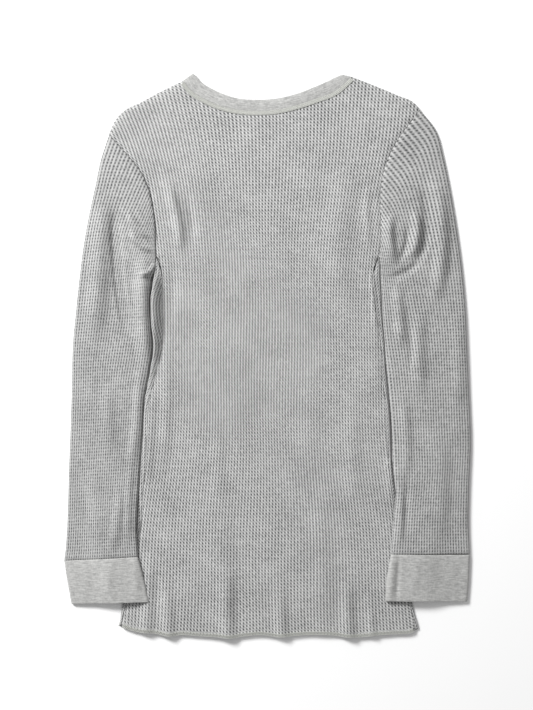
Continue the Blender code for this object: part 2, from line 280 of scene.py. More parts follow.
# Where a sleeve starts to climb onto the body and where it lies wholly on it, and the shares of its
# width, counted from its outer fold, over which it climbs.
CLIMB = {"left": (-130 * MM, -200 * MM), "right": (-70 * MM, -142 * MM)}
CLIMB_ACROSS = (0.2, 0.58)
CAP_BEND = 5
for side in ("left", "right"):
    wrist = np.ptp([CUFFS[side]["outer_x"][0], CUFFS[side]["inner_x"][0]])
    print(f"the {side} cuff is {wrist / MM:.0f} mm across")

# %% [markdown]
# ## Creases, listed one by one
#
# Cloth that was pulled flat still keeps a few soft folds, where a sleeve turns or a hem waves. A
# simulation would place its own, so they are listed one by one: a tuple for each, with its two ends, how
# far its middle bows to the left of the way it runs, its half width and its rise. A trough has a rise
# below nought. No two have the same length, width or height, because real ones never do.

# %% Creases
CREASE_COLUMNS = "x0 y0 x1 y1 bow half_width rise"
BODY_CREASES = table(CREASE_COLUMNS, (
    (-124, -262, -118, -392, 2, 12, 3.6), (-60, -150, -58, -380, 3, 22, 1.8),
    (-48, -236, -42, -410, -3, 14, 3.8), (12, -262, 17, -398, 2, 12, 3.4),
    (60, -140, 64, -380, 4, 20, 1.8), (95, -258, 102, -400, -2, 12, 4.0),
    (121, -285, 127, -385, 1, 8, 2.0), (-142, -232, -150, -375, 2, 12, 3.0),
    (-114, 120, -118, 4, 2, 12, -2.4), (-124, 216, -102, 116, 4, 9.5, 5.4),
    (-102, 202, -89, 128, 4, 8, -2.8), (-137, 132, -139, -40, 0, 15, 10.0),
    (-141, 0, -151, -190, 3, 11, 2.4), (146, -10, 151, -200, -2, 10, 2.2),
    (-100, 245, -72, 60, 10, 26, 1.8), (96, 245, 92, 30, -8, 24, 1.8),
    (122, 212, 124, 118, -4, 7, 1.6), (126, 116, 132, 18, -2, 5.5, 3.0),
    (-40, 60, -34, -110, -5, 30, 1.5), (38, 20, 46, -150, 6, 26, 1.6),
    (-122, 40, -126, -150, 3, 10, 1.6), (-66, -40, -60, -190, 4, 12, 1.2),
    (104, -30, 108, -200, -5, 16, 1.4),
))
SLEEVE_CREASES = {
    "left": table(CREASE_COLUMNS, (
        (-147, 132, -141, -34, -4, 15, 10.5), (-201, 210, -210, 0, 4, 18, 6.0),
        (-183, 184, -166, 16, -4, 9, -8.0), (-134, 122, -166, 150, 5, 5, 5.5),
        (-136, 137, -170, 176, 6, 6, 4.6), (-133, 110, -158, 96, 6, 6, 5.5),
        (-152, 2, -166, -150, 3, 9, 3.2), (-190, -30, -184, -120, -4, 12, 2.2),
        (-214, -120, -206, -240, 3, 13, 1.8), (-176, -150, -190, -246, 4, 10, 2.4),
        (-162, -120, -166, -235, -2, 7, 2.4),
    )),
    "right": table(CREASE_COLUMNS, (
        (197, 226, 197, 50, 12, 13, 5.5), (182, 204, 177, 104, 12, 7, -6.0),
        (182, 112, 146, 92, 4, 6, -4.5), (166, 160, 155, 108, 6, 5, -3.5),
        (147, 172, 153, 104, -4, 9, 6.0), (172, 182, 168, 110, 9, 8, 5.5),
        (152, 92, 160, 2, 2, 10, 4.0), (183, 66, 184, -60, -3, 13, 3.2),
        (171, 40, 171, -22, 2, 7, -2.0), (160, -40, 166, -150, 3, 9, 2.6),
        (226, 60, 228, -80, 2, 12, 1.8), (206, -90, 202, -238, 4, 16, 2.2),
        (170, -128, 167, -222, -2, 7, -1.6), (158, -150, 156, -236, 2, 7, 2.6),
    )),
}
CUFF_CREASES = {
    "left": table(CREASE_COLUMNS, (
        (-222, -240, -218, -305, 2, 9, 0.9), (-186, -236, -190, -300, -3, 12, 1.1),
        (-160, -236, -156, -300, 1, 8, 1.2),
    )),
    "right": table(CREASE_COLUMNS, (
        (150, -232, 145, -302, 0, 7, 2.2), (158, -232, 154, -302, 0, 4, -1.4),
        (176, -232, 172, -296, 2, 10, 1.0), (222, -236, 218, -300, -2, 14, 0.8),
    )),
}


def crease_height(xy, creases):
    """The sum of the creases: each is a rounded ridge across a bowed line, and fades at its ends.

    Along the straight line from end to end goes t, from 0 to 1. The crease's own line stands 4 t (1 - t)
    times the bow to its side, and the ridge falls as an S-curve with the distance from that line.
    """
    total = np.zeros(xy.shape[:-1])
    for x0, y0, x1, y1, bow, half_width, rise in zip(*creases.values()):
        line = np.array((x1 - x0, y1 - y0))
        length = np.hypot(*line)
        line = line / length
        off = xy - (x0, y0)
        t = (off @ line) / length
        aside = off @ np.array((-line[1], line[0])) - 4 * bow * np.clip(t * (1 - t), 0, None)
        ends = ease(3 * np.minimum(t, 1 - t))
        total = total + rise * ends * ease(1 - np.abs(aside) / half_width)
    return total


print("creases on the body:", len(BODY_CREASES["rise"]))

# %% [markdown]
# ## The view
#
# The garment is seen from straight above, so the camera looks down the Z axis. A long lens keeps the
# garment's edges from leaning. At the camera's height the view takes in VIEW_HEIGHT of the table.

# %% The camera
LENS = 85
SENSOR = 36
VIEW_HEIGHT = 0.852
VIEW_CENTRE = (-1.2 * MM, -0.6 * MM)

camera = bpy.data.objects.new("camera", bpy.data.cameras.new("camera"))
camera.data.lens = LENS
camera.data.sensor_width = SENSOR
camera.location = (*VIEW_CENTRE, VIEW_HEIGHT * LENS / SENSOR)
bpy.context.scene.collection.objects.link(camera)
bpy.context.scene.camera = camera
print(f"the camera is {camera.location.z:.2f} m above the table")

# %% [markdown]
# ## Colour and nodes
#
# Colours are chosen as sRGB hex, which is what a screen shows, while the renderer works in linear
# light. One function turns the one into the other. One more adds a node with its settings and links.

# %% Helpers for materials
def linear(hex_colour):
    """sRGB hex to linear: a straight line near black, and a power of 2.4 above it."""
    channel = np.array([int(hex_colour[at:at + 2], 16) for at in (1, 3, 5)]) / 255
    light = np.where(channel <= 0.04045, channel / 12.92, ((channel + 0.055) / 1.055) ** 2.4)
    return (*light.tolist(), 1.0)


def add(tree, kind, inputs=None, **settings):
    """A new node with its settings. Each input is a number, a colour or another node's output."""
    made = tree.nodes.new("ShaderNode" + kind)
    for name, value in settings.items():
        setattr(made, name, value)
    for socket, value in (inputs or {}).items():
        if isinstance(value, bpy.types.NodeSocket):
            tree.links.new(value, made.inputs[socket])
        else:
            made.inputs[socket].default_value = value
    return made


def new_material(name):
    """A material with only its output and a Principled BSDF."""
    material = bpy.data.materials.new(name)
    material.use_nodes = True
    return material, material.node_tree, material.node_tree.nodes["Principled BSDF"]


def set_cloth(surface, sheen):
    """Cotton is rough all over and has a faint sheen from its loose fibres."""
    surface.inputs["Roughness"].default_value = 0.9
    surface.inputs["IOR"].default_value = 1.45
    surface.inputs["Sheen Weight"].default_value = sheen
    surface.inputs["Sheen Roughness"].default_value = 0.45
    surface.inputs["Specular IOR Level"].default_value = 0.25


print("grey in linear light:", [round(x, 3) for x in linear("#b4b4b2")[:3]])

# %% [markdown]
# ## Finish: marl cotton, knitted as waffle
#
# Marl yarn is spun from white and dark grey fibres together, so the grey is never even: it is
# freckled at the scale of the yarn and a little cloudy over a few centimetres. The waffle itself is
# modelled, but a rib is only some three millimetres wide, so its finest shape is in the finish:
# painted shade darkens the pit in each pocket, on top of the shade that the modelled relief casts,
# and the pits lean like a twisted rope on the body and stand square on the sleeves, where the cloth
# is narrower. The finish is drawn in the knit's own coordinates, with ribs across and courses along,
# so that it follows every fan and fold of the cloth.

# %% Waffle knit
# Each wave is (ribs, courses, strength): its crests repeat that often for each rib and each course.
# The waves (1, 1) and (1, -1) lean the two ways across a rib, and the stronger one leads.
ROPE_WAVES = ((1, 0, 0.25), (1, 1, 0.24), (1, -1, 0.07), (0, 1, 0.05))
SQUARE_WAVES = ((1, 0, 0.27), (1, 1, 0.08), (1, -1, 0.05), (0, 1, 0.09))
# How many times a noise repeats in a metre. Real fibres are finer, and are drawn coarser to show.
FIBRES = 1100
FRECKLES = 420
CLOUDS = 26
# Paler and darker lengths of yarn show as streaks some ribs long and a course or two high.
YARN_RIBS = 9
YARN_COURSES = 1.6


def marl(tree, coordinates):
    """Fine fibres, freckles of a few tenths of a millimetre drawn coarser to show, and soft clouds."""
    fibres = add(tree, "TexNoise", {"Vector": coordinates, "Scale": FIBRES, "Detail": 2.0})
    freckles = add(tree, "TexNoise", {"Vector": coordinates, "Scale": FRECKLES, "Detail": 2.0})
    clouds = add(tree, "TexNoise", {"Vector": coordinates, "Scale": CLOUDS, "Detail": 3.0})
    fine = add(tree, "Math", {0: fibres.outputs["Fac"], 1: 0.5, 2: freckles.outputs["Fac"]},
               operation="MULTIPLY_ADD")
    return fibres.outputs["Fac"], fine.outputs[0], clouds.outputs["Fac"]


# %% The waffle's material
def waffle_knit(name, waves, pit_shade_colour, crest_colour, bump_strength):
    """Waffle knit in marl yarn: matt and freckled, with light ribs and painted shade in its pockets."""
    material, tree, surface = new_material(name)
    set_cloth(surface, sheen=0.25)
    knit = add(tree, "UVMap", uv_map="knit").outputs["UV"]
    place = add(tree, "TexCoord").outputs["Object"]
    fibres, fine, clouds = marl(tree, place)

    level = 0.5
    for ribs, courses, strength in waves:
        turn = (2 * np.pi * ribs, 2 * np.pi * courses, 0)
        phase = add(tree, "VectorMath", {0: knit, 1: turn}, operation="DOT_PRODUCT").outputs["Value"]
        sign = -strength if ribs == 0 else strength
        wave = add(tree, "Math", {0: phase}, operation="COSINE").outputs[0]
        level = add(tree, "Math", {0: wave, 1: sign, 2: level}, operation="MULTIPLY_ADD").outputs[0]

    lengths = add(tree, "Mapping", {"Vector": knit, "Scale": (1 / YARN_RIBS, 1 / YARN_COURSES, 1.0)})
    yarns = add(tree, "TexNoise", {"Vector": lengths.outputs["Vector"], "Scale": 1.0, "Detail": 2.0})
    shade = level
    for noise, low, high, swing in ((fine, 0.5, 1.0, 0.17), (clouds, 0.3, 0.7, 0.06),
                                    (yarns.outputs["Fac"], 0.3, 0.7, 0.035)):
        part = add(tree, "MapRange", {"Value": noise, "From Min": low, "From Max": high,
                                      "To Min": -swing, "To Max": swing})
        shade = add(tree, "Math", {0: shade, 1: part.outputs[0]}, operation="ADD").outputs[0]
    # Painted shade: where the waves dip, in the pits, the colour goes towards the dark pit colour, as the
    # deep pockets would shade themselves; the freckles, clouds and yarn streaks are the yarn's own tone.
    ends = {"A": linear(pit_shade_colour), "B": linear(crest_colour)}
    colour = add(tree, "Mix", {"Factor": shade, **ends}, data_type="RGBA")
    tree.links.new(colour.outputs["Result"], surface.inputs["Base Color"])

    height = add(tree, "Math", {0: fibres, 1: 0.35, 2: level}, operation="MULTIPLY_ADD")
    bump = add(tree, "Bump", {"Height": height.outputs[0], "Strength": bump_strength, "Distance": 0.5 * MM})
    tree.links.new(bump.outputs["Normal"], surface.inputs["Normal"])
    return material


# The first colour of each is painted shade for the pits, the second the yarn's grey on the crests.
BODY_KNIT = waffle_knit("Marl cotton waffle knit with painted pit shade, eased wide", ROPE_WAVES, "#464748", "#d2d2d1", 0.5)
SLEEVE_KNIT = waffle_knit("Marl cotton waffle knit, drawn narrow", SQUARE_WAVES, "#444546", "#cacac9", 0.3)
print("waffle finishes:", BODY_KNIT.name, "and", SLEEVE_KNIT.name)

# %% [markdown]
# ## Finish: marl jersey and sewing thread
#
# The neckband and the cuffs are fine jersey, whose stitches are under a millimetre wide. At this
# distance they join into a smooth face, paler than the waffle because it has no pits. Its fibres lie
# along the band as short light and dark streaks. The threads of the cover seam and of the hem are
# spun polyester in a slightly greener grey, a little smoother than the cotton.

# %% Jersey and thread
# Millimetres, as the band's own coordinates are.
JERSEY_COURSE = 0.8
STREAK_LENGTH = 9.0
STREAK_WIDTH = 1.3


def band_jersey(name, dark, light):
    """Fine marl jersey: matt, with short streaks along the band. Its own coordinates are millimetres."""
    material, tree, surface = new_material(name)
    set_cloth(surface, sheen=0.25)
    knit = add(tree, "UVMap", uv_map="knit").outputs["UV"]
    place = add(tree, "TexCoord").outputs["Object"]
    fibres, fine, clouds = marl(tree, place)
    stretched = add(tree, "Mapping", {"Vector": knit, "Scale": (1 / STREAK_LENGTH, 1 / STREAK_WIDTH, 1.0)})
    streaks = add(tree, "TexNoise", {"Vector": stretched.outputs["Vector"], "Scale": 1.0, "Detail": 3.0})
    broad = add(tree, "Math", {0: clouds, 1: 0.2, 2: streaks.outputs["Fac"]}, operation="MULTIPLY_ADD")
    both = add(tree, "Math", {0: fine, 1: 0.5, 2: broad.outputs[0]}, operation="MULTIPLY_ADD")
    shade = add(tree, "MapRange", {"Value": both.outputs[0], "From Min": 0.68, "From Max": 1.22})
    ends = {"A": linear(dark), "B": linear(light)}
    colour = add(tree, "Mix", {"Factor": shade.outputs[0], **ends}, data_type="RGBA")
    tree.links.new(colour.outputs["Result"], surface.inputs["Base Color"])

    wales = (2 * np.pi / JERSEY_COURSE, 0, 0)
    phase = add(tree, "VectorMath", {0: knit, 1: wales}, operation="DOT_PRODUCT").outputs["Value"]
    rib = add(tree, "Math", {0: phase}, operation="COSINE").outputs[0]
    height = add(tree, "Math", {0: rib, 1: 0.2, 2: fibres}, operation="MULTIPLY_ADD")
    bump = add(tree, "Bump", {"Height": height.outputs[0], "Strength": 0.4, "Distance": 0.2 * MM})
    tree.links.new(bump.outputs["Normal"], surface.inputs["Normal"])
    return material


def sewing_thread(name, dark, light):
    """Spun thread: paler on its twists, a little shinier than the knit."""
    material, tree, surface = new_material(name)
    set_cloth(surface, sheen=0.15)
    surface.inputs["Roughness"].default_value = 0.7
    place = add(tree, "TexCoord").outputs["Object"]
    twists = add(tree, "TexNoise", {"Vector": place, "Scale": FIBRES, "Detail": 1.0})
    ends = {"A": linear(dark), "B": linear(light)}
    colour = add(tree, "Mix", {"Factor": twists.outputs["Fac"], **ends}, data_type="RGBA")
    tree.links.new(colour.outputs["Result"], surface.inputs["Base Color"])
    return material


JERSEY = band_jersey("Marl cotton jersey, folded double", "#8a8a89", "#bfbfbd")
THREAD = sewing_thread("Spun polyester overlock thread", "#a7a8a3", "#cbccc7")
print("band and thread finishes:", JERSEY.name, "and", THREAD.name)

# %% [markdown]
# ## The waffle as a lattice
#
# A waffle could be a fine square grid pushed up and down, but most of its points would do nothing.
# A rib's crest is level along its length, so one point for each course is enough.
# The valley beside it dips in the pit and rises on the bar, so it gets two. Three triangles join them
# on each side of the valley, six for every pocket of the knit. The lattice is made flat, in knit
# coordinates, and each piece then bends it into place with its own formula. The cloth's thickness is
# a second copy of the face, further in. A Solidify modifier could make it, but it follows the mesh's
# normals, which stray on the slivers that a cut edge leaves, and the formula knows the way out exactly.

# %% The lattice
# Points nearer than this are one point.
MERGE = 1e-6
INSIDE, PAST_LEFT, PAST_RIGHT, PAST_END = range(4)


def waffle_lattice(first_rib, ribs, courses):
    """Points (rib, course) and triangles of a waffle lattice that starts at first_rib and course 0.

    Crest i runs along rib i with a point at each whole course. The valley half a rib on has a pit at
    each whole course and a bar halfway between.
    """
    across = first_rib + np.arange(ribs + 1)
    up = np.arange(2 * courses + 1) / 2
    crests = np.stack(np.meshgrid(across, up[::2], indexing="ij"), axis=-1)
    valleys = np.stack(np.meshgrid(across[:-1] + 0.5, up, indexing="ij"), axis=-1)
    crest = np.arange(crests[..., 0].size).reshape(crests.shape[:2])
    valley = crest.size + np.arange(valleys[..., 0].size).reshape(valleys.shape[:2])
    pit, bar, next_pit = valley[:, :-1:2], valley[:, 1::2], valley[:, 2::2]
    low, high = crest[:-1, :-1], crest[:-1, 1:]
    far_low, far_high = crest[1:, :-1], crest[1:, 1:]
    triangles = (
        (low, pit, bar), (low, bar, high), (high, bar, next_pit),
        (pit, far_low, bar), (bar, far_low, far_high), (bar, far_high, next_pit),
    )
    faces = np.concatenate([np.stack(corners, axis=-1).reshape(-1, 3) for corners in triangles])
    return np.concatenate((crests.reshape(-1, 2), valleys.reshape(-1, 2))), faces


def waffle_depth(knit):
    """How far below the crests the face is: nought on a crest, most in a pit, less on a bar."""
    valley = (1 - np.cos(2 * np.pi * knit[:, 0])) / 2
    pit = (1 + np.cos(2 * np.pi * knit[:, 1])) / 2
    return valley * (BAR_DEPTH + (PIT_DEPTH - BAR_DEPTH) * pit)


# %% From a mesh to a piece
def finish(name, mesh, knit, corners, material):
    """Gives a mesh its knit coordinates and material, and makes it a piece of the garment."""
    mesh.uv_layers.new(name="knit").uv.foreach_set("vector", knit[corners].astype(np.float32).ravel())
    mesh.materials.append(material)
    mesh.shade_smooth()
    piece = bpy.data.objects.new(name, mesh)
    bpy.context.scene.collection.objects.link(piece)
    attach(piece, "root")
    return piece


def with_thickness(points, outward, triangles, sources):
    """A closed skin: the face, a copy of it one wall further in and turned over, and a rim between them.

    The rim has a quad on every side that only one triangle has. sources are the lattice points that
    the triangles' corners have their knit coordinates from.
    """
    inner = points - KNIT_WALL * outward
    sides = np.concatenate([triangles[:, [0, 1]], triangles[:, [1, 2]], triangles[:, [2, 0]]])
    from_points = np.concatenate([sources[:, [0, 1]], sources[:, [1, 2]], sources[:, [2, 0]]])
    shared = np.isin(sides[:, 0] * len(points) + sides[:, 1], sides[:, 1] * len(points) + sides[:, 0])
    edge = sides[~shared]
    rim = np.column_stack((edge[:, ::-1], edge + len(points)))
    rim_sources = from_points[~shared][:, [1, 0, 0, 1]]
    faces = triangles.tolist() + (triangles[:, ::-1] + len(points)).tolist() + rim.tolist()
    corners = np.concatenate((sources.ravel(), sources[:, ::-1].ravel(), rim_sources.ravel()))
    return np.concatenate((points, inner)), faces, corners


def knit_piece(name, lattice, place, material):
    """A piece of waffle: the lattice put in place, cut at its edges, and given the cloth's thickness.

    place gives, for ribs and courses, each point, which way out is, and which edge it is past. Points
    past an edge lie on it, where there is no relief, and a triangle wholly past one edge is cut off.
    """
    knit, faces = lattice
    points, outward, past = place(knit[:, 0], knit[:, 1])
    depth = np.where(past == INSIDE, waffle_depth(knit), 0)
    points = points - depth[:, None] * outward
    state = past[faces]
    cut_off = (state[:, 0] == state[:, 1]) & (state[:, 1] == state[:, 2]) & (state[:, 0] != INSIDE)
    faces = faces[~cut_off]
    _, first, same = np.unique(np.round(points / MERGE), axis=0, return_index=True, return_inverse=True)
    joined = same.reshape(-1)[faces]
    real = (joined[:, 0] != joined[:, 1]) & (joined[:, 1] != joined[:, 2]) & (joined[:, 2] != joined[:, 0])
    used, index = np.unique(joined[real], return_inverse=True)
    kept = first[used]
    triangles = index.reshape(-1, 3)
    shell, shell_faces, corners = with_thickness(points[kept], outward[kept], triangles, faces[real])
    mesh = bpy.data.meshes.new(name)
    mesh.from_pydata(shell.tolist(), [], shell_faces)
    piece = finish(name, mesh, knit, corners, material)
    print(f"{name}: {len(triangles)} triangles a side")
    return piece


# %% [markdown]
# ## The back panel
#
# The back is cut as one piece. Its ribs run from hem to shoulder. They are closest at the waist,
# where the cloth relaxes, and fan out towards the hem and more so towards the shoulders, where the
# weight of the sleeves has drawn the knit wide. The panel is a level sheet on top of the front, its
# creases added, with a groove along each seam and a roll over both shoulders.

# %% Where a rib and a course lie
# The width of a rib at each height, left and right of the centre.
RIB_WIDTHS = table("height left right", (
    (-338, 3.95, 3.95),
    (-223, 3.76, 3.76),
    (-103, 3.44, 3.44),
    (-30, 3.36, 3.36),
    (65, 3.38, 3.38),
    (161, 3.6, 3.6),
    (209, 3.8, 3.84),
    (257, 4.2, 4.1),
    (305, 4.74, 4.26),
    (338, 5.1, 4.35),
))
HEM_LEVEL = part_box("back_panel")[0].y
LIP_FADE = 30 * MM
WAVE_FADE = 40
GROOVE_DEPTH = 0.8 * MM
GROOVE_WIDTH = 4.5 * MM
SHOULDER_ROLL = 4.0 * MM
# The cover seam holds the neck seam nearly level, so its groove is only a share of the others.
NECK_GROOVE = 0.1


widths = np.concatenate((RIB_WIDTHS["left"], RIB_WIDTHS["right"])) / MM
print(f"a rib is {widths.min():.1f} to {widths.max():.1f} mm wide")


def hem_height(x):
    return smooth(x, HEM["x"], HEM["y"])


def body_plan(rib, course):
    """Plan x and y of a rib and a course: fanned ribs, and courses that follow the hem near it.

    The ribs stray sideways by under a millimetre, in slow waves, as laid cloth does.
    """
    y = HEM_LEVEL + course * COURSE
    width = np.where(rib < 0, smooth(y, RIB_WIDTHS["height"], RIB_WIDTHS["left"]),
                     smooth(y, RIB_WIDTHS["height"], RIB_WIDTHS["right"]))
    x = rib * width
    x = x + 0.8 * MM * np.sin(y / (33 * MM) + 2 * np.sin(x / (60 * MM)))
    y = y + (hem_height(x) - HEM_LEVEL) * ease(1 - course / WAVE_FADE)
    y = y + 0.9 * MM * np.sin(x / (41 * MM) + np.sin(y / (70 * MM)))
    return x, np.maximum(y, hem_height(x))


# %% Grooves, rolls and folds of the back
def groove(distance):
    """How far the face sinks towards a seam: all of it at the edge, as an S-curve from some way in."""
    return GROOVE_DEPTH * (1 - ease(distance / GROOVE_WIDTH))


def roll_over(distance):
    """A quarter circle: nought from the roll's radius inwards, and half the stack at the very edge."""
    near = np.clip(1 - distance / SHOULDER_ROLL, 0, 1)
    return ROLL * (1 - np.sqrt(1 - near ** 2))


def surface_waves(x, y):
    """Slow swells of the cloth, under a millimetre high and longer along the ribs than across."""
    swell = np.sin(x / (17 * MM) + 1.3 * np.sin(y / (83 * MM))) * np.sin(y / (61 * MM) + x / (97 * MM))
    return 0.45 * MM * (1 + swell)


def lip_width(side, y):
    return smooth(y, SIDES["height"], SIDES[side + "_lip"])


def back_sides(y):
    """The back panel's left and right edges at a height: inside the front's lips below the armpits."""
    left, right = (lip_width(side, y) + ROLL + SEAM_GAP for side in ("left", "right"))
    below = y < ARMPIT
    return side_x("left", y) + left * below, side_x("right", y) - right * below


def back_face(x, y):
    """The height of the back's face: the stack and its folds, less the seams' grooves and the rolls."""
    low, high = back_sides(y)
    top = top_height(x, back_neck_seam)
    on_shoulder = np.abs(x) > BACK_NECK["seam_x"][-1]
    to_side = np.minimum(x - low, high - x)
    inside = ease(to_side / (2 * GROOVE_WIDTH))
    free = np.where(y < ARMPIT, ease((ARMPIT - y) / LIP_FADE), 0)
    folds = crease_height(np.stack((x, y), axis=-1), BODY_CREASES) * np.maximum(inside, free)
    folds = (folds + surface_waves(x, y) * inside) * ease((top - y) / (2 * GROOVE_WIDTH))
    fall = np.where(on_shoulder, roll_over(top - y), NECK_GROOVE * groove(top - y))
    return STACK + folds - groove(to_side) - fall


def back_place(rib, course):
    """The back panel: points on the upper face of the stack, facing up."""
    x, y = body_plan(rib, course)
    low, high = back_sides(y)
    past = np.where(x < low, PAST_LEFT, np.where(x > high, PAST_RIGHT, INSIDE))
    x = np.clip(x, low, high)
    top = top_height(x, back_neck_seam)
    past = np.where(y > top, PAST_END, past)
    y = np.minimum(y, top)
    points = np.column_stack((x, y, back_face(x, y)))
    return points, np.broadcast_to((0.0, 0.0, 1.0), points.shape), past


# %% The back itself
BODY_RIBS = 52
BODY_COURSES = 176
back = knit_piece("back", waffle_lattice(-BODY_RIBS, 2 * BODY_RIBS, BODY_COURSES), back_place, BODY_KNIT)
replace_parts(back, "back_panel")

# %% [markdown]
# ## The front panel
#
# The front lies face down on the table. It is the same shape but for its deeper neck, and a little
# wider: at both sides it rolls up round the stack and over onto the back, where the side seam is. So a
# rib's distance from the centre is measured along the cloth: level, then round half a circle, then
# back along the lip.

# %% Front
def front_place(rib, course):
    """The front panel: level on the table, half a circle round each side, and a lip on top."""
    x, y = body_plan(rib, course)
    hand = np.sign(x) + (x == 0)
    reach = np.abs(x)
    edge = np.where(x < 0, -side_x("left", y), side_x("right", y))
    lip = np.where(x < 0, lip_width("left", y), lip_width("right", y))
    below = y < ARMPIT
    bulge = ROLL * ease((ARMPIT - y) / LIP_FADE)
    level_end = edge - np.where(below, bulge, 0)
    limit = level_end + np.where(below, np.pi * ROLL + lip, 0)
    past = np.where(reach > limit, np.where(x < 0, PAST_LEFT, PAST_RIGHT), INSIDE)
    reach = np.minimum(reach, limit)
    turn = np.clip((reach - level_end) / ROLL, 0, np.pi)
    back_again = np.clip(reach - level_end - np.pi * ROLL, 0, None)
    plan_x = np.minimum(reach, level_end) + bulge * np.sin(turn) * below - back_again
    x = hand * plan_x
    top = top_height(x, front_neck_seam)
    past = np.where(y > top, PAST_END, past)
    y = np.minimum(y, top)
    z = ROLL * (1 - np.cos(turn))
    on_shoulder = np.abs(x) > BACK_NECK["seam_x"][-1]
    rolled = np.where(on_shoulder, roll_over(top - y), 0)
    creased = crease_height(np.stack((x, y), axis=-1), BODY_CREASES) * ease((ARMPIT - y) / LIP_FADE)
    rise = (1 - np.cos(turn)) / 2
    lifted = np.where(turn > 0, creased * rise - groove(limit - reach), rolled)
    outward = np.column_stack((hand * np.sin(turn), np.zeros(len(x)), -np.cos(turn)))
    return np.column_stack((x, y, z + lifted)), outward, past


# %% The front itself
knit, faces = waffle_lattice(-BODY_RIBS, 2 * BODY_RIBS, BODY_COURSES)
front = knit_piece("front", (knit, faces[:, ::-1]), front_place, BODY_KNIT)
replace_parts(front, "front_panel")

# %% [markdown]
# ## The sleeves
#
# A sleeve is a tube laid flat, so its ribs go all the way round: along the top from the outer fold to
# the fold under the arm, round it, and back below. Each rib starts at the armhole seam, leaves it at
# an angle and turns down to the cuff. Courses are counted from the cuff up along each rib, and a
# short rib under the arm simply meets the armhole sooner, as it does in the cut cloth.

# %% Sleeve tubes
TIP = 0.02
# Steps along a line that has to be measured.
FINE = 240
PUFF = 2.6 * MM
# How much of a groove the armhole seam and the wrist seam pinch.
HOLE_PINCH = 0.5
WRIST_PINCH = 0.1
UNDERLAP = 6.0 * MM
UNDER_FROM = 0.85
UNDER_FADE = 0.12
SLEEVE_RIBS = {"left": 64, "right": 60}
SLEEVE_COURSES = 140


def round_tube(turn):
    """Where a share of the way round a flattened tube is: its share across, and its angle above level.

    The way round is level along the top, half a circle round the inner fold, level along the bottom
    and half a circle round the outer fold. TIP is a fold's radius as a share of the tube's width.
    """
    level = 1 - 2 * TIP
    bend = np.pi * TIP
    at = np.mod(turn, 1) * (2 * level + 2 * bend)
    knots = np.cumsum((0, level, bend, level, bend))
    angle = np.interp(at, knots, (np.pi / 2, np.pi / 2, -np.pi / 2, -np.pi / 2, -3 * np.pi / 2))
    middle = np.interp(at, knots, (TIP, 1 - TIP, 1 - TIP, TIP, TIP))
    return middle + TIP * np.cos(angle), angle


def tube_plan(stations, s, share, cap=None):
    """Plan points of a tube: straight across its two folds at s, bent at the start to meet a cap line."""
    knots = np.arange(len(stations["outer_x"]), dtype=float)
    outer = np.stack([smooth(s, knots, stations["outer_" + axis]) for axis in "xy"], axis=-1)
    inner = np.stack([smooth(s, knots, stations["inner_" + axis]) for axis in "xy"], axis=-1)
    plan = outer + (inner - outer) * share[..., None]
    if cap is not None:
        first = np.array((stations["outer_x"][0], stations["outer_y"][0]))
        last = np.array((stations["inner_x"][0], stations["inner_y"][0]))
        line = first + (last - first) * share[..., None]
        plan = plan + ((1 - s / knots[-1]) ** CAP_BEND)[..., None] * (cap(share) - line)
    side = inner - outer
    return plan, side / np.linalg.norm(side, axis=-1, keepdims=True)


def climb(side, plan_y, share):
    """How far the lower layer is raised where the tube lies over the body's edge."""
    start, end = CLIMB[side]
    near, far = CLIMB_ACROSS
    return LAID_OVER * ease((share - near) / (far - near)) * ease((plan_y - start) / (end - start))


def reach_under(side, plan, share, angle):
    """The lower layer's inner fold reaches on to the body's side, so no table shows between them."""
    gap = np.clip(np.abs(plan[:, 0]) - np.abs(side_x(side, plan[:, 1])) - SEAM_GAP, 0, UNDERLAP)
    low = (1 - np.sin(angle)) / 2
    shift = gap * low * ease((share - UNDER_FROM) / UNDER_FADE) * (plan[:, 1] < ARMPIT)
    return plan - np.column_stack((np.sign(plan[:, 0]) * shift, np.zeros(len(shift))))


def tube_points(side, plan, over, share, angle, creases, pinch):
    """Points and outward directions on a flattened tube: creases and a slight puff lift its top only."""
    inside = np.sin(np.pi * np.clip(share, 0, 1)) ** 0.5
    bottom = climb(side, plan[:, 1], share)
    lifted = np.clip(crease_height(plan, creases) + PUFF * inside, 0, None)
    half = (STACK + lifted * (1 - pinch)) / 2 - pinch * GROOVE_DEPTH
    middle = bottom + STACK / 2 + lifted * (1 - pinch) / 2
    outward = np.column_stack((over * np.cos(angle)[:, None], np.sin(angle)))
    plan = reach_under(side, plan, share, angle)
    return np.column_stack((plan, middle + half * np.sin(angle))), outward


# %% From ribs and courses to a sleeve
def sleeve_place(side):
    """Gives the function that puts a sleeve's ribs and courses in place."""
    stations = SLEEVES[side]
    hole = ARMHOLES[side]

    def cap(share):
        return along(hole["x"][::-1], hole["y"][::-1], share)

    def place(rib, course):
        ribs, which = np.unique(rib, return_inverse=True)
        share, angle = round_tube(ribs / SLEEVE_RIBS[side])
        s = np.linspace(len(stations["outer_x"]) - 1, 0, FINE)
        grid_s, grid_share = np.meshgrid(s, share)
        plan, _ = tube_plan(stations, grid_s, grid_share, cap)
        steps = np.linalg.norm(np.diff(plan, axis=1), axis=-1)
        run = np.apply_along_axis(run_of, 1, steps)
        courses = np.arange(2 * SLEEVE_COURSES + 1) / 2
        at = np.array([np.interp(courses * COURSE, line, s) for line in run])
        total = run[which, -1]
        here = at[which, np.round(2 * course).astype(int)]
        past = np.where(course * COURSE > total, PAST_END, INSIDE)
        plan, over = tube_plan(stations, here, share[which], cap)
        left_over = np.clip(total - course * COURSE, 0, None)
        pinch = 1 - ease(np.minimum(left_over, course * COURSE) / GROOVE_WIDTH)
        pinch = pinch * np.where(left_over < course * COURSE, HOLE_PINCH, WRIST_PINCH)
        points, outward = tube_points(
            side, plan, over, share[which], angle[which], SLEEVE_CREASES[side], pinch)
        return points, outward, past

    return place


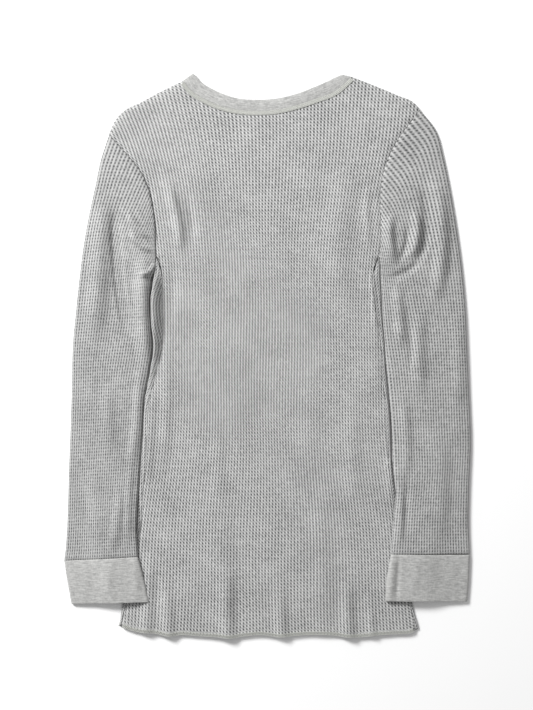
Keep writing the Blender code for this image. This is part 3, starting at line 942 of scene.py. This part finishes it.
# %% The sleeves themselves
sleeves = {}
for side in ("left", "right"):
    knit, faces = waffle_lattice(0, SLEEVE_RIBS[side], SLEEVE_COURSES)
    faces = faces[:, ::-1] if side == "right" else faces
    place = sleeve_place(side)
    sleeves[side] = knit_piece(side + "_sleeve_knit", (knit, faces), place, SLEEVE_KNIT)
    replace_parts(sleeves[side], side + "_sleeve")

# %% [markdown]
# ## The cuffs
#
# A cuff is one strip of jersey folded double, so its open edge is a soft fold and not a cut. Its
# section is a flat loop: down the outside, round the fold, up the inside and closed at the seam with
# the sleeve. That loop is carried round the same flattened tube as the sleeve's.

# %% Cuffs
AROUND = 150
LONG = 22
CAP_STEPS = 5
CUFF_TUCK = 1.6 * MM


def grid_piece(name, points, knit, material):
    """A closed piece from a grid of points that joins up both ways round, with millimetre coordinates.

    knit has one more row and one more column than points, so that the pattern runs on across the joins.
    """
    rows, columns = points.shape[:2]
    row = np.arange(rows)[:, None]
    column = np.arange(columns)[None]
    corners = ((0, 0), (1, 0), (1, 1), (0, 1))
    faces = np.stack([((row + r) % rows) * columns + (column + c) % columns for r, c in corners], axis=-1)
    sources = np.stack([(row + r) * (columns + 1) + column + c for r, c in corners], axis=-1)
    mesh = bpy.data.meshes.new(name)
    mesh.from_pydata(points.reshape(-1, 3).tolist(), [], faces.reshape(-1, 4).tolist())
    piece = finish(name, mesh, knit.reshape(-1, 2), sources.ravel(), material)
    print(f"{name}: {len(mesh.polygons)} faces")
    return piece


def folded_section(length, wall, steps):
    """A flat loop: down one side, round a half circle, up the other side and round again.

    It gives, for each of its points, how far along the length and how far in from the outer face.
    """
    radius = wall / 2
    level = np.linspace(radius, length - radius, steps)
    angle = np.linspace(0, np.pi, CAP_STEPS + 2)[1:-1]
    far = np.column_stack((length - radius + radius * np.sin(angle), radius - radius * np.cos(angle)))
    near = np.column_stack((radius - radius * np.sin(angle), radius + radius * np.cos(angle)))
    outer = np.column_stack((level, np.zeros(steps)))
    inner = np.column_stack((level[::-1], np.full(steps, wall)))
    return np.concatenate((outer, far, inner, near))


# %% The cuffs themselves
def build_cuff(side):
    """A cuff: the folded section at every step round the flattened tube."""
    stations = CUFFS[side]
    length = abs(stations["outer_y"][-1] - stations["outer_y"][0])
    section = folded_section(length, BAND_WALL, LONG)
    section[:, 0] = section[:, 0] - CUFF_TUCK * (1 - section[:, 0] / length)
    turn = np.arange(AROUND) / AROUND
    share, angle = round_tube(turn)
    s = np.repeat(section[:, 0] / length * (len(stations["outer_x"]) - 1), AROUND)
    share = np.tile(share, len(section))
    angle = np.tile(angle, len(section))
    plan, over = tube_plan(stations, s, share)
    edge = np.minimum(section[:, 0], length - section[:, 0])
    pinch = np.repeat((1 - ease(edge / GROOVE_WIDTH)) * (section[:, 0] < length / 2), AROUND)
    points, outward = tube_points(side, plan, over, share, angle, CUFF_CREASES[side], pinch * WRIST_PINCH)
    points = (points - np.repeat(section[:, 1], AROUND)[:, None] * outward).reshape(len(section), AROUND, 3)
    width = 2 * abs(stations["inner_x"][0] - stations["outer_x"][0]) / MM
    run = np.append(section[:, 0], section[0, 0]) / MM
    knit = np.stack(np.meshgrid(run, np.linspace(0, width, AROUND + 1), indexing="ij"), axis=-1)[..., ::-1]
    if side == "right":
        points = points[:, ::-1]
    piece = grid_piece(side + "_cuff_jersey", points, knit, JERSEY)
    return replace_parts(piece, side + "_cuff")


cuffs = {side: build_cuff(side) for side in ("left", "right")}

# %% [markdown]
# ## The neckband
#
# The neckband is a ring of the same folded jersey. Its back half lies on top and its front half below,
# and the ring folds over at the two shoulders. Round the ring, its face turns from upwards, through
# level at a shoulder, to downwards. Its section is the same flat loop, from the open edge to the seam.

# %% Neckband
NECK_STEPS = 90
NECK_FOLD = 7
NECK_SECTION = 14
NECK_PULL = 0.008
NECK_CORNER = 0.16
NECK_CORNER_STEPS = 9
NECK_CROWN = 0.5 * MM


def neck_ring(edge):
    """One edge of the band as a ring: along the back, round the right fold, the front and the left fold.

    It gives the plan points, and the angle above level that the band's face has at each.
    """
    inside = np.linspace(NECK_PULL, 1 - NECK_PULL, NECK_STEPS)
    xs, ys = BACK_NECK[edge + "_x"], BACK_NECK[edge + "_y"]
    upper = along(xs, ys, inside)
    fine = np.linspace(xs[0], xs[-1], FINE)
    lower = along(fine, front_neck_height(fine, edge), inside)
    angle = np.linspace(np.pi / 2, -np.pi / 2, NECK_FOLD + 2)[1:-1]
    share = (1 - np.sin(angle))[:, None] / 2

    def fold(over, under, tip):
        between = over + (under - over) * share
        return between + (tip - (over + under) / 2) * np.cos(angle)[:, None]

    right = fold(upper[-1], lower[-1], np.array((xs[-1], ys[-1])))
    left = fold(upper[0], lower[0], np.array((xs[0], ys[0])))
    ring = np.concatenate((upper, right, lower[::-1], left[::-1]))
    level = np.full(NECK_STEPS, np.pi / 2)
    return ring, np.concatenate((level, angle, -level, -np.pi + angle))


# %% The neckband itself
inner_ring, ring_angle = neck_ring("inner")
seam_ring, _ = neck_ring("seam")
# The open edge is cut back at the two folds, so that their corners are round.
to_fold = np.arange(len(inner_ring))
half_ring = len(inner_ring) / 2
from_fold = np.abs((to_fold + (NECK_FOLD + 1) / 2) % half_ring)
from_fold = np.minimum(from_fold, half_ring - from_fold)
cut_back = NECK_CORNER * (1 - ease(from_fold / NECK_CORNER_STEPS))
inner_ring = inner_ring + (seam_ring - inner_ring) * cut_back[:, None]
band_width = np.median(np.linalg.norm(seam_ring - inner_ring, axis=-1))
section = folded_section(band_width, BAND_WALL, NECK_SECTION)
share = (section[:, 0] / band_width)[:, None, None]
plan = inner_ring[None] + (seam_ring - inner_ring)[None] * share
depth = section[:, 1][:, None]
height = ROLL + (ROLL - depth) * np.sin(ring_angle)
plan[..., 0] -= depth * np.cos(ring_angle)
# The middle of the band's outer face is slightly crowned.
crown = NECK_CROWN * np.sin(np.pi * section[:, 0] / band_width) * (section[:, 1] == 0)
height = height + crown[:, None] * np.clip(np.sin(ring_angle), 0, None)
points = np.concatenate((plan, height[..., None]), axis=-1)
steps = np.linalg.norm(np.roll(seam_ring, -1, axis=0) - seam_ring, axis=-1)
run = run_of(steps)
across = np.append(section[:, 0], section[0, 0])
knit = np.stack(np.meshgrid(across, run, indexing="ij"), axis=-1)[..., ::-1] / MM
neckband = grid_piece("neckband_jersey", points, knit, JERSEY)
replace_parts(neckband, "neckband")
print(f"the neckband is {band_width / MM:.1f} mm wide and {run[-1] / MM:.0f} mm round its seam")

# %% [markdown]
# ## The stitching that shows
#
# Beside the neck seam runs a cover seam: three straight rows, with a thread laid to and fro across
# them. The hem is not turned up: an overlock thread wraps its raw edge. Each is modelled as a thin
# four-sided thread, because a bump would not stand out from the deep relief of the waffle.

# %% Threads
THREAD_RADIUS = 0.36 * MM
TURN_POINTS = 5
COVER_SPAN = (-0.8 * MM, 4.4 * MM)
COVER_ROWS = (0, 1.9 * MM, 3.8 * MM)
COVER_STEP = 0.7 * MM
HEM_SPAN = (0.1 * MM, 4.0 * MM)
HEM_ROWS = (0.2 * MM, 3.8 * MM)
HEM_STEP = 1.0 * MM


def thread_faces(count):
    """Quads of one four-sided thread along count points, closed at both ends by a square."""
    ring = np.arange(4)
    at = 4 * np.arange(count - 1)[:, None]
    sides = np.stack((at + ring, at + (ring + 1) % 4, at + 4 + (ring + 1) % 4, at + 4 + ring), axis=-1)
    ends = ((3, 2, 1, 0), 4 * (count - 1) + ring)
    return np.concatenate((sides.reshape(-1, 4), ends))


def stitch(name, lines, aside):
    """Threads along lines of points. aside is, at every point, a direction across the thread."""
    points, faces = [], []
    for line, across in zip(lines, aside):
        forward = np.gradient(line, axis=0)
        up = np.cross(forward, across)
        up = up / np.linalg.norm(up, axis=-1, keepdims=True)
        side = np.cross(up, forward)
        side = side / np.linalg.norm(side, axis=-1, keepdims=True)
        corners = np.stack((side, up, -side, -up), axis=1) * THREAD_RADIUS
        faces.append(thread_faces(len(line)) + sum(len(group) for group in points))
        points.append((line[:, None] + corners).reshape(-1, 3))
    mesh = bpy.data.meshes.new(name)
    mesh.from_pydata(np.concatenate(points).tolist(), [], np.concatenate(faces).tolist())
    # A thread's finish needs no coordinates of its own, so every corner has the same.
    finish(name, mesh, np.zeros((1, 2)), np.zeros(len(mesh.loops), int), THREAD)
    print(f"{name}: {len(mesh.polygons)} faces")


def seam_threads(curve, span, step, face, rows):
    """A thread to and fro across a seam and straight ones along it, resting on a face.

    curve is the seam, run so that the panel is on its right, and span is where the threads' two sides
    are from it. The thread crosses every step, as a cosine wave. rows are the straight ones' places.
    """
    run = run_of(np.hypot(*np.diff(curve, axis=0).T))
    at = np.arange(0, run[-1], step / TURN_POINTS)
    line = np.stack([np.interp(at, run, curve[:, axis]) for axis in (0, 1)], axis=-1)
    forward = np.gradient(line, axis=0)
    forward = forward / np.linalg.norm(forward, axis=-1, keepdims=True)
    inwards = np.column_stack((forward[:, 1], -forward[:, 0]))
    near, far = span
    wave = near + (far - near) * (1 - np.cos(np.pi * at / step)) / 2
    lines, aside = [], []
    for place in (wave, *[np.full(len(at), row) for row in rows]):
        plan = line + inwards * place[:, None]
        lines.append(np.column_stack((plan, face(plan[:, 0], plan[:, 1]))))
        aside.append(np.tile((0.0, 0.0, 1.0), (len(at), 1)))
    return lines, aside


def on_back(x, y):
    return back_face(x, y) + 0.8 * THREAD_RADIUS


def under_front(x, y):
    return np.full(len(x), 0.6 * THREAD_RADIUS)


# %% The stitches themselves
neck_line = along(BACK_NECK["seam_x"], BACK_NECK["seam_y"], np.linspace(0.01, 0.99, FINE))
stitch("neck_cover_seam", *seam_threads(neck_line, COVER_SPAN, COVER_STEP, on_back, COVER_ROWS))
hem_x = np.linspace(HEM["x"][-1], HEM["x"][0], FINE)
low, high = back_sides(hem_height(hem_x))
within = (hem_x > low) & (hem_x < high)
hems = (("hem_overlock_back", on_back, hem_x[within]), ("hem_overlock_front", under_front, hem_x))
for name, face, xs in hems:
    line = np.column_stack((xs, hem_height(xs)))
    stitch(name, *seam_threads(line, HEM_SPAN, HEM_STEP, face, HEM_ROWS))

# %% [markdown]
# ## The cut of the cloth
#
# The area of each panel's cut is counted on a fine grid of points, a millimetre apart, and printed.
# The front's takes in the strip rolled over each side.

# %% Sheets
def panel_area(neck, extra):
    """The area of a panel: 1 mm squares inside its lines, with the strip rolled over each side."""
    x, y = np.meshgrid(np.arange(-200, 200) * MM, np.arange(-345, 345) * MM)
    low, high = back_sides(y)
    inside = (x > low - extra) & (x < high + extra) & (y < top_height(x, neck)) & (y > hem_height(x))
    return inside.sum() * MM * MM


ROLLED_STRIP = 10 * MM
back_area = panel_area(back_neck_seam, 0)
front_area = panel_area(front_neck_seam, ROLLED_STRIP)
print(f"the back's cut is {back_area * 1e4:.0f} square centimetres, the front's {front_area * 1e4:.0f}")

# %% [markdown]
# ## The table and the light
#
# The table is a plain pale sheet. One broad soft lamp stands above the upper left, so the ribs and
# folds show, and an even pale sky fills the shadows.

# %% Table and light
FLOOR_SIZE = 6.0
FLOOR_GAP = 0.3 * MM
bpy.ops.mesh.primitive_plane_add(size=FLOOR_SIZE, location=(0, 0, -FLOOR_GAP))
floor = bpy.context.object
floor.name = "floor"
floor_material, _, floor_surface = new_material("Matt white card")
floor_surface.inputs["Base Color"].default_value = linear("#f8f8f8")
floor_surface.inputs["Roughness"].default_value = 1.0
floor_surface.inputs["Specular IOR Level"].default_value = 0.0
floor.data.materials.append(floor_material)

world = bpy.data.worlds.new("Even pale sky")
world.use_nodes = True
world.node_tree.nodes["Background"].inputs["Color"].default_value = linear("#ffffff")
world.node_tree.nodes["Background"].inputs["Strength"].default_value = 0.42
bpy.context.scene.world = world


def lamp(name, place, size, watts):
    """A square soft lamp at a place, facing the middle of the garment."""
    light = bpy.data.lights.new(name, "AREA")
    light.size = size
    light.energy = watts
    holder = bpy.data.objects.new(name, light)
    holder.location = place
    holder.rotation_mode = "QUATERNION"
    holder.rotation_quaternion = (-holder.location).to_track_quat("-Z", "Y")
    bpy.context.scene.collection.objects.link(holder)


lamp("key", (-1.7, 1.55, 1.7), 0.9, 118)
bpy.context.scene.view_settings.view_transform = "Standard"
print("lit by a lamp and the sky")
